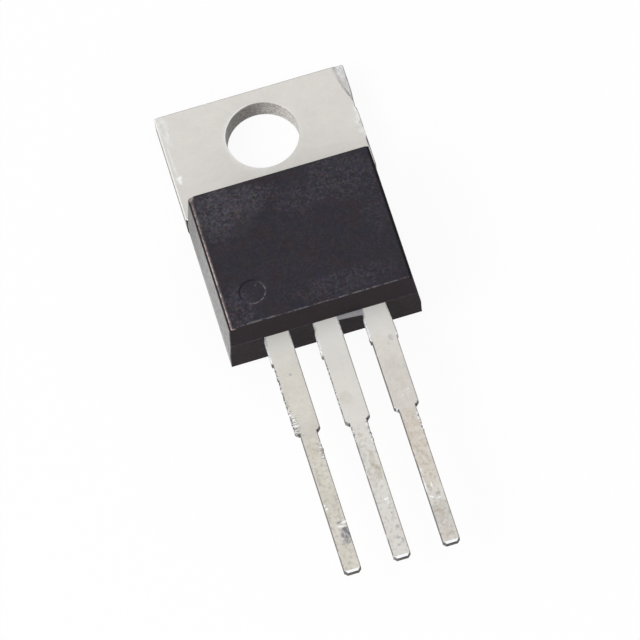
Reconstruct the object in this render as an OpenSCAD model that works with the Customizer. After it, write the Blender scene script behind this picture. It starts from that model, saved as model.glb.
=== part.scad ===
// Three-lead voltage regulator in a moulded flange-mount package.
// X runs across the tab, Y from the leads to the tab's free end, Z from the back to the front face.
// The origin is on the mounting hole's axis, in the plane of the back.
// All sizes are in millimetres.

/* [Tab] */
// Width of the tab
tab_w = 10.16; // [9.65:0.01:10.67]
// Thickness of the tab and of the die pad, which are one plate
tab_t = 1.3; // [1.14:0.01:1.4]
// Diameter of the mounting hole
hole_d = 3.8; // [3.71:0.01:3.96]
// Hole's axis to the free end of the tab
hole_to_free_end = 2.69; // [2.62:0.01:2.87]
// Hole's axis to the foot of the moulding on the tab
hole_to_foot = 3.63; // [3.4:0.01:3.8]
// Cut across the two corners where the tab meets the moulding's sides
shoulder_relief = 0.14; // [0.05:0.01:0.25]

/* [Die pad] */
// Moulding beside the die pad, at each side
side_wall = 0.6; // [0.4:0.05:1]
// Moulding beyond the end of the die pad, measured to the parting line
pad_cover = 2.3; // [2.1:0.05:2.8]
// Reach of the ledge along the pad's back edges that keys it into the moulding
key_reach = 0.3; // [0.15:0.05:0.45]
// Height of that ledge above the back
key_h = 0.45; // [0.3:0.05:0.7]
// Width of the groove across the pad that stops moisture creeping in
groove_w = 0.5; // [0.3:0.05:0.7]
// Depth of that groove
groove_d = 0.25; // [0.15:0.05:0.35]
// Middle of the groove behind the moulding's foot
groove_from_foot = 0.9; // [0.6:0.05:1.2]

/* [Moulding] */
// Step in from the tab's sides to the moulding's lower sides
side_inset = 0.03; // [0:0.01:0.15]
// Length from the parting line at the lead end to the foot on the tab
body_l = 8.38; // [8.25:0.01:8.51]
// Thickness from the back to the front face
body_t = 4.53; // [4.46:0.01:4.7]
// Lean of each side, from the tab's front surface up to the rim
side_draft = 0.29; // [0.1:0.01:0.35]
// Lean of the face over the tab
foot_draft = 0.42; // [0.2:0.01:0.6]
// Lean of the lead end above the parting line
end_draft_front = 0.1; // [0.05:0.01:0.3]
// Lean of the lead end below the parting line
end_draft_back = 0.33; // [0.1:0.01:0.5]
// Width of the ledge on each side, just under the front face
rim_ledge = 0.09; // [0.05:0.01:0.15]
// Width of the bevel from that ledge up to the front face
rim_bevel = 0.09; // [0.05:0.01:0.15]
// Height of that bevel
rim_h = 0.13; // [0.08:0.01:0.2]

/* [Ejector mark] */
// Diameter of the round mark that the ejector pin left
mark_d = 1.3; // [1:0.05:1.6]
// Depth of the mark
mark_depth = 0.05; // [0.02:0.01:0.08]
// Middle of the mark from the front face's left edge
mark_from_side = 1.43; // [1:0.01:3]
// Middle of the mark from the parting line at the lead end
mark_from_end = 1.82; // [1:0.01:7]

/* [Flash] */
// Thickness of the thin web of flash between the middle and the output lead
flash_t = 0.05; // [0.03:0.01:0.1]
// Reach of the flash out of the lead end
flash_reach = 0.3; // [0.15:0.01:0.4]
// Corner that has broken off the flash
flash_corner = 0.18; // [0.05:0.01:0.25]

/* [Leads] */
// Middle to middle of neighbouring leads
lead_pitch = 2.54; // [2.4:0.01:2.68]
// Width of a lead down to its shoulder
lead_w = 1.3; // [1.14:0.01:1.4]
// Width of a lead past its shoulder
tail_w = 0.88; // [0.74:0.01:0.9]
// Thickness of a lead
lead_t = 0.41; // [0.3:0.01:0.6]
// Front surface of the leads above the back, which is also the parting line's height
lead_front = 2.86; // [2.7:0.01:3.1]
// Length of the leads out of the moulding
lead_l = 13.72; // [12.7:0.01:14.27]
// Parting line to the shoulders
shoulder_l = 5.92; // [5:0.01:6.35]
// Cut across each shoulder's corner
shoulder_corner = 0.15; // [0.03:0.01:0.2]
// Cut across the corners of a tip
tip_corner = 0.14; // [0.05:0.01:0.2]
// Bevel on the front edge of a tip
tip_bevel = 0.1; // [0.05:0.01:0.2]
// What is left of the bar that joined the leads, standing out of their flanks
bar_stub = 0.07; // [0.04:0.01:0.12]
// Length of the slope that eases such a stub into the flank, on the moulding's side
stub_slope = 0.21; // [0.1:0.01:0.3]
// Width of that bar along the leads
bar_w = 1.35; // [1:0.05:1.6]
// Parting line to the far side of the bar
bar_far = 1.95; // [1.75:0.01:2.3]
// The same on the input lead, where the cut ran higher
bar_far_input = 1.6; // [1.45:0.01:2.3]

/* [Inner ends of the leads] */
// Width of the bonding post that ends each outer lead
post_w = 2.2; // [1.8:0.05:2.4]
// Length of a bonding post
post_l = 1.3; // [1:0.05:1.6]
// Length of the taper from the lead to the post
post_taper = 0.4; // [0.2:0.05:0.6]
// Parting line to the start of that taper, inside the moulding
post_from_end = 0.75; // [0.5:0.05:1]
// Steepness of the middle lead's step up from the pad, in degrees
step_angle = 60; // [50:1:70]
// Level stretch of the middle lead between the pad and its step
step_from_pad = 0.25; // [0.15:0.05:0.4]

/* [Die] */
// Width of the silicon die
die_w = 2.2; // [1.6:0.05:3]
// Length of the silicon die
die_l = 2.6; // [1.8:0.05:3]
// Thickness of the silicon die
die_t = 0.28; // [0.2:0.01:0.4]
// End of the die pad to the die
die_from_pad_end = 1.1; // [0.9:0.05:1.6]
// Thickness of the solder under the die
solder_t = 0.05; // [0.03:0.01:0.1]
// Fillet of solder that shows round the die
solder_rim = 0.1; // [0.05:0.01:0.2]

/* [Bond wires] */
// Thickness of a bond wire, across its flats
wire_d = 0.2; // [0.12:0.01:0.26]
// Length of the flat foot at each end of a wire
wire_foot = 0.25; // [0.15:0.01:0.35]
// Height of a wire's arch above its higher foot
wire_arch = 0.5; // [0.4:0.05:0.7]
// Middle of the die to the outer wires' feet, across
wire_spread = 0.6; // [0.4:0.05:0.7]
// Edge of the die to the wires' feet on it, along
wire_from_edge = 0.4; // [0.3:0.05:0.6]
// Edge of the die to the middle wire's foot on the pad
pad_foot_from_die = 0.5; // [0.3:0.05:0.6]
// Inner end of a bonding post to the wire's foot on it
post_foot_from_end = 0.5; // [0.3:0.05:0.7]

/* [Hidden] */

$fn = 96;
past = 1; // how far cutters run past what they cut
body_w = tab_w - 2 * side_inset;
pad_w = body_w - 2 * side_wall;
front_w = body_w - 2 * (side_draft + rim_ledge + rim_bevel);
foot_y = -hole_to_foot;
end_y = foot_y - body_l;
pad_end_y = end_y + pad_cover;
rim_z = body_t - rim_h;
die_y = pad_end_y + die_from_pad_end;
die_z = tab_t + solder_t;
lead_level = lead_front - lead_t / 2;

// A flat outline seen from the side, with Y and Z as its two directions, drawn out across the part
module across(w, outline) {
    translate([-w / 2, 0, 0]) rotate([90, 0, 90]) linear_extrude(w) polygon(outline);
}

// The moulding's outline seen from one side: foot on the tab, front face, lead end, back
side_outline = [
    [foot_y, 0], [foot_y, tab_t], [foot_y - foot_draft, body_t],
    [end_y + end_draft_front, body_t], [end_y, lead_front], [end_y + end_draft_back, 0]];

// One half of the moulding's outline seen from its lead end, from the back up to the front face
half_outline = [
    [body_w / 2, 0], [body_w / 2, tab_t], [body_w / 2 - side_draft, rim_z],
    [body_w / 2 - side_draft - rim_ledge, rim_z],
    [front_w / 2, body_t]];

// A run of points on the right, mirrored to the left and taken backwards
function mirrored(points) = [for (i = [len(points) - 1 : -1 : 0]) [-points[i].x, points[i].y]];

// The points of a right half with their mirror image, as one closed outline
function both_sides(half) = concat(half, mirrored(half));

// The moulded block before anything is taken out of it: drafted, with a rim along both sides
module moulded_block() {
    intersection() {
        across(body_w + 2 * past, side_outline);
        translate([0, foot_y + past, 0])
            rotate([90, 0, 0])
                linear_extrude(body_l + 2 * past) polygon(both_sides(half_outline));
    }
}

// Thin web at the parting line, between the flanks of the middle and the output lead
module flash() {
    near = lead_w / 2;
    far = lead_pitch - lead_w / 2;
    translate([0, end_y, lead_front - flash_t])
        linear_extrude(flash_t)
            polygon([[near, past], [far, past], [far, flash_corner - flash_reach],
                     [far - flash_corner, -flash_reach], [near, -flash_reach]]);
}

// One flank of a lead from its tip up to the moulding; stub is how far the cut bar stands out,
// and far is where its stub ends
function flank(stub, far = bar_far) = [
    [tail_w / 2 - tip_corner, -lead_l],
    [tail_w / 2, tip_corner - lead_l],
    [tail_w / 2, -shoulder_l],
    [lead_w / 2 - shoulder_corner, -shoulder_l],
    [lead_w / 2, shoulder_corner - shoulder_l],
    [lead_w / 2, -far],
    [lead_w / 2 + stub, -far],
    [lead_w / 2 + stub, bar_w - bar_far],
    [lead_w / 2, bar_w - bar_far + stub_slope]];

// Outline of an outer lead with its bonding post, seen from the front; its place is the parting line
module outer_lead_plan(right_stub, left_far) {
    taper_end = post_from_end + post_taper;
    post_half = [
        [lead_w / 2, post_from_end],
        [post_w / 2, taper_end],
        [post_w / 2, taper_end + post_l]];
    polygon(concat(flank(right_stub), both_sides(post_half), mirrored(flank(bar_stub, left_far))));
}

// Outline of the middle lead, which runs up to the die pad as one strip
module middle_lead_plan() {
    polygon(concat(
        flank(0),
        [[lead_w / 2, pad_cover + past], [-lead_w / 2, pad_cover + past]],
        mirrored(flank(bar_stub))));
}

// A lead's thickness seen from the side, bevelled at the tip, from the tip to a given inner end
function lead_side(inner_end) = [
    [inner_end, lead_front], [tip_bevel - lead_l, lead_front], [-lead_l, lead_front - tip_bevel],
    [-lead_l, lead_front - lead_t], [inner_end, lead_front - lead_t]];

// An outer lead is one strip with a post; it stands one pitch from the middle, on either side.
// The cut bar left a stub on each lead's left flank, and on the last one's right flank too.
module outer_lead(side, right_stub, left_far) {
    translate([side * lead_pitch, end_y, 0]) intersection() {
        linear_extrude(lead_front + past) outer_lead_plan(right_stub, left_far);
        across(post_w + past, lead_side(post_from_end + post_taper + post_l + past));
    }
}

// The middle lead's side view: level with the pad's front surface, a step up, then out to the tip
module middle_lead() {
    pad_level = tab_t - lead_t / 2;
    mitre = lead_t / 2 * tan(step_angle / 2);
    low = pad_cover - step_from_pad;
    high = low - (lead_level - pad_level) / tan(step_angle);
    step_side = [
        [pad_cover + past / 2, tab_t], [low + mitre, tab_t], [high + mitre, lead_front],
        [tip_bevel - lead_l, lead_front], [-lead_l, lead_front - tip_bevel],
        [-lead_l, lead_front - lead_t], [high - mitre, lead_front - lead_t],
        [low - mitre, tab_t - lead_t], [pad_cover + past / 2, tab_t - lead_t]];
    translate([0, end_y, 0]) intersection() {
        linear_extrude(lead_front + past) middle_lead_plan();
        across(lead_w + past, step_side);
    }
}

// Outline of the tab and the die pad, which are one plate
tab_half = [
    [pad_w / 2, pad_end_y], [pad_w / 2, foot_y], [tab_w / 2 - shoulder_relief, foot_y],
    [tab_w / 2, foot_y + shoulder_relief], [tab_w / 2, hole_to_free_end]];

// The plate with its hole, the groove under the foot and the ledge round the pad's back
module plate() {
    groove_y = foot_y - groove_from_foot;
    difference() {
        linear_extrude(tab_t) polygon(both_sides(tab_half));
        translate([0, 0, -past]) cylinder(d = hole_d, h = tab_t + 2 * past);
        across(pad_w + 2 * past, [
            [groove_y - groove_w / 2 * (1 + past / groove_d), tab_t + past],
            [groove_y, tab_t - groove_d],
            [groove_y + groove_w / 2 * (1 + past / groove_d), tab_t + past]]);
        for (side = [-1, 1])
            translate([side * (pad_w / 2 - key_reach), pad_end_y - past, -past])
                mirror([side < 0 ? 1 : 0, 0, 0])
                    cube([key_reach + past, foot_y - pad_end_y + past, key_h + past]);
        translate([-pad_w / 2 - past, pad_end_y - past, -past])
            cube([pad_w + 2 * past, key_reach + past, key_h + past]);
    }
}

// The tab, the die pad and the middle lead are stamped from one strip of copper
module copper_tab() {
    plate();
    middle_lead();
}

// The die lies on its solder, on the middle line of the pad
module die_block(rim, low, t) {
    translate([-die_w / 2 - rim, die_y - rim, low])
        cube([die_w + 2 * rim, die_l + 2 * rim, t]);
}

// The run of a bond wire: distances along the floor and heights of its middle line.
// It lies flat at both feet and rises between them in one arch, a cubic whose two handles stand at
// these shares of the span. Its top reaches three quarters of the handles' height.
arch_steps = 10;
first_handle = 0.1;
second_handle = 0.8;
handle_lift = 4 / 3;
function arch(t, span, start, end, top) =
    let (a = [0, start], b = [span * first_handle, top], c = [span * second_handle, top], d = [span, end])
    pow(1 - t, 3) * a + 3 * t * pow(1 - t, 2) * b + 3 * pow(t, 2) * (1 - t) * c + pow(t, 3) * d;
function wire_run(span, start, end) =
    let (top = max(start, end) + wire_arch * handle_lift)
    concat([[-wire_foot, start]],
           [for (i = [0 : arch_steps]) arch(i / arch_steps, span, start, end, top)],
           [[span + wire_foot, end]]);

function unit(v) = v / norm(v);
function turned(v) = [-v.y, v.x];

// A wire with eight flats from one foot's heel to the other's, each given as x, y and floor height
wire_sides = 8;
module bond_wire(from, to) {
    flat = wire_d / 2;
    corner_r = flat / cos(180 / wire_sides);
    ground = [to.x - from.x, to.y - from.y];
    ahead = unit(ground);
    beside = turned(ahead);
    run = wire_run(norm(ground), from.z + flat, to.z + flat);
    last = len(run) - 1;
    points = [for (i = [0 : last])
        let (back = unit(run[max(i, 1)] - run[max(i, 1) - 1]),
             on = unit(run[min(i, last - 1) + 1] - run[min(i, last - 1)]),
             up = turned(unit(back + on)),
             mitre = 1 / (up * turned(back)))
        for (k = [0 : wire_sides - 1])
            let (angle = (k + 0.5) * 360 / wire_sides,
                 out = corner_r * cos(angle),
                 lift = corner_r * sin(angle) * mitre,
                 s = run[i].x + lift * up.x)
            [from.x + s * ahead.x + out * beside.x,
             from.y + s * ahead.y + out * beside.y,
             run[i].y + lift * up.y]];
    walls = [for (i = [0 : last - 1]) for (k = [0 : wire_sides - 1])
        let (a = i * wire_sides + k, b = i * wire_sides + (k + 1) % wire_sides)
        [a, a + wire_sides, b + wire_sides, b]];
    start_cap = [[for (k = [0 : wire_sides - 1]) k]];
    end_cap = [[for (k = [wire_sides - 1 : -1 : 0]) last * wire_sides + k]];
    polyhedron(points, concat(walls, start_cap, end_cap));
}

// Where the wires' feet stand
die_top = die_z + die_t;
die_foot_y = die_y + wire_from_edge;
post_foot_y = end_y + post_from_end + post_taper + post_l - post_foot_from_end;
module post_wire(side) {
    bond_wire([side * wire_spread, die_foot_y, die_top], [side * lead_pitch, post_foot_y, lead_front]);
}
module pad_wire() {
    bond_wire([0, die_foot_y, die_top], [0, die_y - pad_foot_from_die, tab_t]);
}

module body_moulding() {
    color([0.22, 0.21, 0.24]) difference() {
        union() {
            moulded_block();
            flash();
        }
        translate([mark_from_side - front_w / 2, end_y + mark_from_end, body_t - mark_depth])
            cylinder(d = mark_d, h = mark_depth + past);
        copper_tab();
        outer_lead(-1, 0, bar_far_input);
        outer_lead(1, bar_stub, bar_far);
        die_block(solder_rim, tab_t, solder_t);
        die_block(0, die_z, die_t);
        post_wire(-1);
        pad_wire();
        post_wire(1);
    }
}
module heat_tab() {
    color([0.80, 0.79, 0.76]) copper_tab();
}
module input_lead() {
    color([0.80, 0.78, 0.74]) outer_lead(-1, 0, bar_far_input);
}
module output_lead() {
    color([0.80, 0.78, 0.74]) outer_lead(1, bar_stub, bar_far);
}
module die_solder() {
    color([0.60, 0.61, 0.64]) die_block(solder_rim, tab_t, solder_t);
}
module regulator_die() {
    color([0.30, 0.34, 0.42]) die_block(0, die_z, die_t);
}
module input_wire() {
    color([0.86, 0.86, 0.88]) post_wire(-1);
}
module common_wire() {
    color([0.86, 0.86, 0.88]) pad_wire();
}
module output_wire() {
    color([0.86, 0.86, 0.88]) post_wire(1);
}

body_moulding();
heat_tab();
input_lead();
output_lead();
die_solder();
regulator_die();
input_wire();
common_wire();
output_wire();
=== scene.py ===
import bpy
import numpy as np
from mathutils import Matrix, Vector


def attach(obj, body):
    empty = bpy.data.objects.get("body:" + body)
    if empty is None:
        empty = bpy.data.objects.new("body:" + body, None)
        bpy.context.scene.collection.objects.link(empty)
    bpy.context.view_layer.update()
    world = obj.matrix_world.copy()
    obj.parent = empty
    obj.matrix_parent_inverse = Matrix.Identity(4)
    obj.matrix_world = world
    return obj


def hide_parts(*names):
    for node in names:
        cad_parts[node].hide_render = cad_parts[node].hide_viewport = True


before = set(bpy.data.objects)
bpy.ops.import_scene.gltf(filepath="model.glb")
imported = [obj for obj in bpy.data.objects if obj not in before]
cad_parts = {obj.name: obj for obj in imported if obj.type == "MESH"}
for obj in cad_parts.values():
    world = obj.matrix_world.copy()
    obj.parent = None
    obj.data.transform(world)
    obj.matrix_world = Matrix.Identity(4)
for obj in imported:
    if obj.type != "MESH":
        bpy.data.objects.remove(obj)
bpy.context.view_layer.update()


# Camera
# A long lens about 0.3 m away, above the lead end and a little to the left. It is rolled, so that
# the part leans in the picture as it does in the photograph.
camera_place = Vector((-0.018229, -0.147778, 0.271209))
camera_aim = Vector((-0.000188, -0.011521, 0.002))
camera_roll = np.radians(-9.642)
camera = bpy.data.objects.new("camera", bpy.data.cameras.new("camera"))
bpy.context.scene.collection.objects.link(camera)
camera.data.sensor_width, camera.data.lens = 36, 337.5
turn = (camera_aim - camera_place).to_track_quat("-Z", "Y").to_matrix()
turn = turn @ Matrix.Rotation(camera_roll, 3, "Z")
camera.matrix_world = Matrix.Translation(camera_place) @ turn.to_4x4()
bpy.context.scene.camera = camera


# Tab, die pad and middle lead
# One stamping from copper strip, rolled thick for the tab and the die pad and thin for the leads,
# then plated with matte tin. The punch rounds the front edges and leaves sheared walls, and the
# moulding holds the pad and the step up to the lead. Sizes are in millimetres.
mm, hair = 0.001, 0.001
tab_t, hole_r = 1.3, 1.9
half_tab, free_end, foot_y = 5.08, 2.69, -3.63
half_pad, pad_end, relief_cut = 4.45, -9.71, 0.14
front_roll, back_roll, corner_reach = 0.055, 0.03, 0.075
key_reach, key_h = 0.31, 0.3
crescent_x, crescent_bend, crescent_end = 4.54, 0.095, 0.3
lead_front, lead_t, lead_l = 2.86, 0.41, 13.72
lead_back = lead_front - lead_t
body_end, narrow_from, shoulder_line = -12.01, -0.75, 5.8
half_lead, half_tail, tip_bevel, tip_corner = 0.65, 0.44, 0.1, 0.14
lead_front_roll, lead_back_roll = 0.055, 0.025
shoulder_corner, stub_reach, tear_depth = 0.15, 0.07, 0.016
outline_step, lead_step, arc_steps = 0.08, 0.04, 5


def softened(corners, reach, closed=False):
    """The line through the corners, where each corner gives way to a parabola that leaves one side
    and meets the other at a given reach from the corner. An open line keeps its two end points."""
    at = np.asarray(corners, float)
    before, after = np.roll(at, 1, 0), np.roll(at, -1, 0)
    to_before = (before - at) / np.linalg.norm(before - at, axis=1, keepdims=True)
    to_after = (after - at) / np.linalg.norm(after - at, axis=1, keepdims=True)
    t = np.linspace(0, 1, arc_steps)[None, :, None]
    start, end = (at + reach * to_before)[:, None], (at + reach * to_after)[:, None]
    bend = (1 - t) ** 2 * start + 2 * t * (1 - t) * at[:, None] + t ** 2 * end
    if closed:
        return bend.reshape(-1, 2)
    return np.concatenate([at[:1], bend[1:-1].reshape(-1, 2), at[-1:]])


def moved_in(outline, depths):
    """The closed outline once for each depth: every point goes inwards along the mitre of its two
    sides, by the depth over the cosine of half the turn there."""
    ahead = np.roll(outline, -1, 0) - outline
    inward = np.stack([-ahead[:, 1], ahead[:, 0]], 1)
    inward /= np.linalg.norm(ahead, axis=1, keepdims=True)
    before = np.roll(inward, 1, 0)
    mitre = (inward + before) / (1 + (inward * before).sum(1, keepdims=True))
    return outline[None] + np.asarray(depths)[:, None, None] * mitre[None]


def sampled(rows, spacing):
    """Closed outlines of one pattern, resampled: each side of the first gets its length over the
    spacing in steps, and every other outline gets as many on the same side."""
    sides = np.linalg.norm(np.roll(rows[0], -1, 0) - rows[0], axis=1)
    counts = np.maximum(1, np.round(sides / spacing)).astype(int)
    side = np.repeat(np.arange(len(sides)), counts)
    share = (np.arange(len(side)) - np.repeat(np.cumsum(counts) - counts, counts)) / counts[side]
    share = share[None, :, None]
    return rows[:, side] * (1 - share) + np.roll(rows, -1, 1)[:, side] * share


def skinned(grids):
    """Points and faces of skins over grids of points: each cell between two rows and two columns is
    a face, the last column meets the first, and the rows close in a loop or end in a flat face
    each. A skin whose enclosed volume comes out negative is turned the other way."""
    all_points, all_faces, first = [], [], 0
    for grid, loops in grids:
        rows, columns = grid.shape[:2]
        column = np.arange(columns)[None]
        row = np.arange(rows if loops else rows - 1)[:, None] * columns
        next_row, next_column = (row + columns) % (rows * columns), (column + 1) % columns
        quads = np.stack([row + column, row + next_column, next_row + next_column,
                          next_row + column], -1).reshape(-1, 4)
        ends = [] if loops else [column[0, ::-1], (rows - 1) * columns + column[0]]
        points = grid.reshape(-1, 3)
        a, b, c, d = (points[quads[:, i]] for i in range(4))
        volume = (np.cross(a, b) * c).sum() + (np.cross(a, c) * d).sum()
        for end in ends:
            fan = points[end]
            volume += (np.cross(fan[:1], fan[1:-1]) * fan[2:]).sum()
        outwards = slice(None) if volume > 0 else slice(None, None, -1)
        all_faces += (first + quads[:, outwards]).tolist()
        all_faces += [(first + end[outwards]).tolist() for end in ends]
        all_points.append(points)
        first += len(points)
    return np.concatenate(all_points), all_faces


def piece(name, grids, marks):
    """An object whose mesh is the skins over the grids, smooth but for edges sharper than 35
    degrees. marks are further numbers for each point, by name, one array for each grid."""
    points, faces = skinned(grids)
    mesh = bpy.data.meshes.new(name)
    mesh.from_pydata((points * mm).tolist(), [], faces)
    for key, arrays in marks.items():
        numbers = np.concatenate([np.ravel(a) for a in arrays]).astype(np.float32)
        mesh.attributes.new(key, "FLOAT", "POINT").data.foreach_set("value", numbers)
    mesh.shade_smooth()
    mesh.set_sharp_from_angle(angle=np.radians(35))
    made = bpy.data.objects.new(name, mesh)
    bpy.context.scene.collection.objects.link(made)
    return made


def quarter(radius):
    """A quarter circle as two rows of numbers: how far in from the wall, and how far down from the
    face."""
    angle = np.linspace(0, np.pi / 2, arc_steps)
    return radius * (1 - np.sin(angle)), radius * (1 - np.cos(angle))


def plate():
    """The tab and the pad as a ring round the hole. Its profile runs down the outer wall, in across
    the back, up the wall of the hole and out across the front, with rows that lie closer towards
    the outline. It is carried round the outline, and each point there is paired with the point of
    the hole's circle in the same direction. Below the height of the pad's key, the pad's outline
    shrinks by the key's reach, which leaves the ledge that holds the moulding."""
    half = [(half_tab, free_end), (-half_tab, free_end), (-half_tab, foot_y + relief_cut),
            (relief_cut - half_tab, foot_y), (-half_pad, foot_y), (-half_pad, pad_end)]
    corners = half + [(-x, y) for x, y in half[:1:-1]]
    roll_in, roll_down = quarter(front_roll)
    back_in, back_up = quarter(back_roll)
    wall = np.linspace(tab_t - front_roll, back_roll, 8)[1:-1]
    depth = np.concatenate([roll_in, 0 * wall, back_in[::-1]])
    height = np.concatenate([tab_t - roll_down, wall, back_up[::-1]])
    outer = moved_in(softened(corners, corner_reach, closed=True), depth)
    outer = sampled(outer, outline_step)
    keyed = (height < key_h)[:, None] & (outer[..., 1] < foot_y - hair)
    key_share = key_reach / np.array([half_pad, foot_y - pad_end])
    shrunk = outer * (1 - key_share) + (0, foot_y) * key_share
    outer = np.where(keyed[..., None], shrunk, outer)
    around = np.arctan2(outer[0, :, 1], outer[0, :, 0])
    circle = np.stack([np.cos(around), np.sin(around)], 1)
    inner = (hole_r + depth[::-1])[:, None, None] * circle[None]
    inward = np.linspace(0, 1, 30)[1:-1, None, None] ** 1.6
    back = outer[-1] * (1 - inward) + inner[0] * inward
    front = inner[-1] * inward[::-1] + outer[0] * (1 - inward[::-1])
    flat = np.ones((len(inward), outer.shape[1], 1))
    rise = height[:, None, None] * np.ones_like(outer[:, :, :1])
    return np.concatenate([np.dstack([outer, rise]), np.dstack([back, 0 * flat]),
                           np.dstack([inner, rise[::-1]]), np.dstack([front, tab_t * flat])])


def smooth_step(value, low, high):
    """Nought below low, one above high, and a cubic without a kink between them."""
    t = np.clip((value - low) / (high - low), 0, 1)
    return t * t * (3 - 2 * t)


def bell(value, middle, width):
    """One at the middle, and falling off to both sides as a bell curve of this width."""
    return np.exp(-((value - middle) / width) ** 2)


def past_crescent(points):
    """How far a point lies beyond the inner line of the pressed corner, which is a parabola."""
    x, y = points[..., 0], points[..., 1]
    line = crescent_x + crescent_bend * (free_end - y) ** 2
    return np.where(y > crescent_end, x - line, -1)


def knocked(points):
    """The plate with the marks of handling: a crescent pressed down at the free end's right corner,
    as a small step and a slope, and two dents in the right edge beside it, as bell curves."""
    x, y, z = points[..., 0], points[..., 1], points[..., 2]
    beyond = past_crescent(points)
    press = 0.03 * smooth_step(beyond, 0, 0.06) + 0.07 * np.clip(beyond, 0, 0.6)
    press *= np.clip(z / tab_t, 0, 1) ** 2
    push = 0.055 * bell(y, 0.38, 0.45) + 0.05 * bell(y, 0.13, 0.07)
    push *= smooth_step(x, 4.6, half_tab) * smooth_step(z, 0.2, 1.1)
    return np.stack([x - push, y, z - press], -1)


def ragged(stations, spans, seed):
    """The torn places of a sheared flank: noise that is non-zero only in the spans given."""
    noise = np.random.default_rng(seed).normal(0, tear_depth, len(stations))
    return noise * sum(smooth_step(stations, start, start + 0.1)
                       * (1 - smooth_step(stations, end - 0.1, end)) for start, end in spans)


def strip(x, y, left, right, top, bottom):
    """A flat strip: a rounded rectangle carried from station to station. Each point of the
    rectangle is a share of the way across and up, plus its part of a corner's quarter circle. It
    goes over the front to the right, down, back under the strip and up on the left."""
    front_in, front_down = quarter(lead_front_roll)
    back_in, back_up = quarter(lead_back_roll)
    over, one, two = np.linspace(0.1, 0.9, 15), np.ones(arc_steps), np.zeros(2)
    under = over[::-2]
    share = np.concatenate([over, one, two + 1, one, under, 0 * one, two, 0 * one])
    aside = np.concatenate([0 * over, -front_in, two, -back_in[::-1], 0 * under, back_in, two,
                            front_in[::-1]])
    raised = np.concatenate([0 * over + 1, one, [0.65, 0.35], 0 * one, 0 * under, 0 * one,
                             [0.35, 0.65], one])
    lifted = np.concatenate([0 * over, -front_down, two, back_up[::-1], 0 * under, back_up, two,
                             -front_down[::-1]])
    xs = x - left[:, None] + (left + right)[:, None] * share + aside
    zs = bottom[:, None] + (top - bottom)[:, None] * raised + lifted
    return np.stack([xs, y[:, None] + 0 * xs, zs], -1)


def lead(x, left, right, inner, left_torn, right_torn, seed,
         top=((0, lead_front),), bottom=((0, lead_back),)):
    """A lead from its inner end to its tip. Distances run out from the moulding, with those inside
    it negative. Each flank is given by its corners, as distance and half width, and each face by
    distance and height; both are straight between these points."""
    left, right, top, bottom = (np.array(line, float).T for line in (left, right, top, bottom))
    even = np.arange(inner, lead_l, lead_step)
    s = np.concatenate([left[0], right[0], even, [lead_l - tip_bevel, lead_l]])
    s = np.unique(np.round(s, 4))
    s = s[s >= inner]
    left_half = np.interp(s, *left) + ragged(s, left_torn, seed)
    right_half = np.interp(s, *right) + ragged(s, right_torn, seed + 1)
    upper = np.interp(s, *top) - np.clip(s - lead_l + tip_bevel, 0, None)
    return strip(x, body_end - s, left_half, right_half, upper, np.interp(s, *bottom))


def flank(shoulder, stub_end=None, stub_l=1.35, ease=0.21):
    """One flank from the moulding to the tip: the stub of the cut bar, which a slope eases into the
    flank, the shoulder and the tip's corner."""
    stub = [] if stub_end is None else [
        (stub_end - stub_l - ease, half_lead), (stub_end - stub_l, half_lead + stub_reach),
        (stub_end - 0.01, half_lead + stub_reach), (stub_end, half_lead)]
    return [(narrow_from, half_lead)] + stub + [
        (shoulder - shoulder_corner, half_lead), (shoulder, half_lead - shoulder_corner),
        (shoulder + 0.005, half_tail), (lead_l - tip_corner, half_tail),
        (lead_l, half_tail - tip_corner)]


def dabs(points, spots):
    """The strongest of several soft spots at each point. A spot is its middle, its two reaches, the
    lean of the first reach in degrees and its strength, and it fades from 0.6 to 1.2 times its
    ellipse by a smooth step."""
    most = np.zeros(points.shape[:-1])
    for x, y, reach, width, lean, strength in spots:
        along = np.array([np.cos(np.radians(lean)), np.sin(np.radians(lean))])
        away = points[..., :2] - (x, y)
        radius = np.hypot(away @ along / reach, away @ np.array([-along[1], along[0]]) / width)
        most = np.maximum(most, strength * (1 - smooth_step(radius, 0.6, 1.2)))
    return most


def torn(points, x, spans):
    """How torn a lead is at each point: a span is a side (0 left, 1 right), the distances from the
    moulding where it starts and ends, and the width over which it fades from the flank inwards."""
    s = body_end - points[..., 1]
    to_side = np.array([-1, 1])[:, None, None] * (points[..., 0] - x)
    from_flank = np.where(s < shoulder_line, half_lead, half_tail)[None] - to_side
    most = np.zeros(s.shape)
    for side, start, end, width in spans:
        along = smooth_step(s, start, start + 0.15) * (1 - smooth_step(s, end - 0.15, end))
        inwards = 1 - smooth_step(from_flank[side], 0.4 * width, width)
        most = np.maximum(most, along * inwards)
    return most


def rolled(points, x, left_end, right_end):
    """How the rounded edges of a lead are painted: bright (1), a painted highlight that is partly
    burnish, from the moulding out to the two ends given, and dark (below 0), a line of painted
    shade, from there on, less so on the right."""
    on_left = points[..., 0] < x
    burnished_edge_highlight = points[..., 1] > np.where(on_left, left_end, right_end)
    return np.where(burnished_edge_highlight, 1, np.where(on_left, -1, -0.6))


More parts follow.
